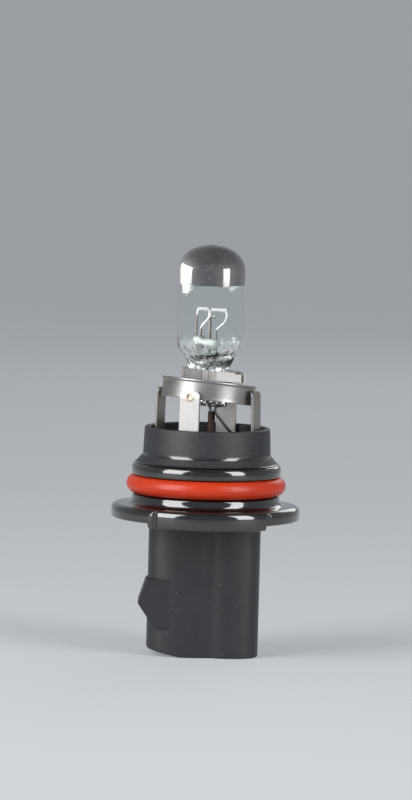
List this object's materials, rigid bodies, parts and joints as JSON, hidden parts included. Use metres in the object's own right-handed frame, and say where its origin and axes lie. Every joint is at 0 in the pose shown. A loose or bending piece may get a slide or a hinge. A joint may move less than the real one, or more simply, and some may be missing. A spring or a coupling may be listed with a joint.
{
  "type": "headlight bulb",
  "caption": "Halogen headlight bulb on a black moulded base with a red seal ring, a steel collar and a bladed connector.",
  "frame": {"origin": "on the bulb's axis at the mouth of the connector, the middle of the bottom of its box", "axes": "+Z along the bulb's axis, towards the capsule's black top; -Y is the front, and the latch is on -X"},
  "size_m": [0.042, 0.042, 0.091],
  "materials": {
    "black_plastic": "glossy",
    "potting_resin": "satin",
    "seal_silicone": "satin",
    "collar_steel": "brushed",
    "clear_glass": "clear",
    "black_coating": "satin",
    "molybdenum": "drawn",
    "tungsten": "drawn",
    "contact_brass": "satin",
    "brown_sleeve": "matte"
  },
  "bodies": {
    "root": {"base_housing": "black_plastic", "seal_ring": "seal_silicone", "cup_potting": "potting_resin", "low_terminal": "contact_brass", "common_terminal": "contact_brass", "high_terminal": "contact_brass", "low_outer_lead": "molybdenum", "common_outer_lead": "molybdenum", "high_outer_lead": "molybdenum", "lead_sleeve": "brown_sleeve", "focus_collar": "collar_steel", "collar_leg_1": "collar_steel", "collar_leg_2": "collar_steel", "collar_leg_3": "collar_steel", "collar_leg_4": "collar_steel", "pinch_clip_front": "collar_steel", "pinch_clip_rear": "collar_steel", "glass_envelope": "clear_glass", "black_top_coating": "black_coating", "glass_bridge": "clear_glass", "low_beam_filament": "tungsten", "high_beam_filament": "tungsten", "low_beam_post": "molybdenum", "common_branch_post": "molybdenum", "common_post": "molybdenum", "high_beam_post": "molybdenum", "low_foil": "molybdenum", "common_foil": "molybdenum", "high_foil": "molybdenum"}
  },
  "joints": []
}
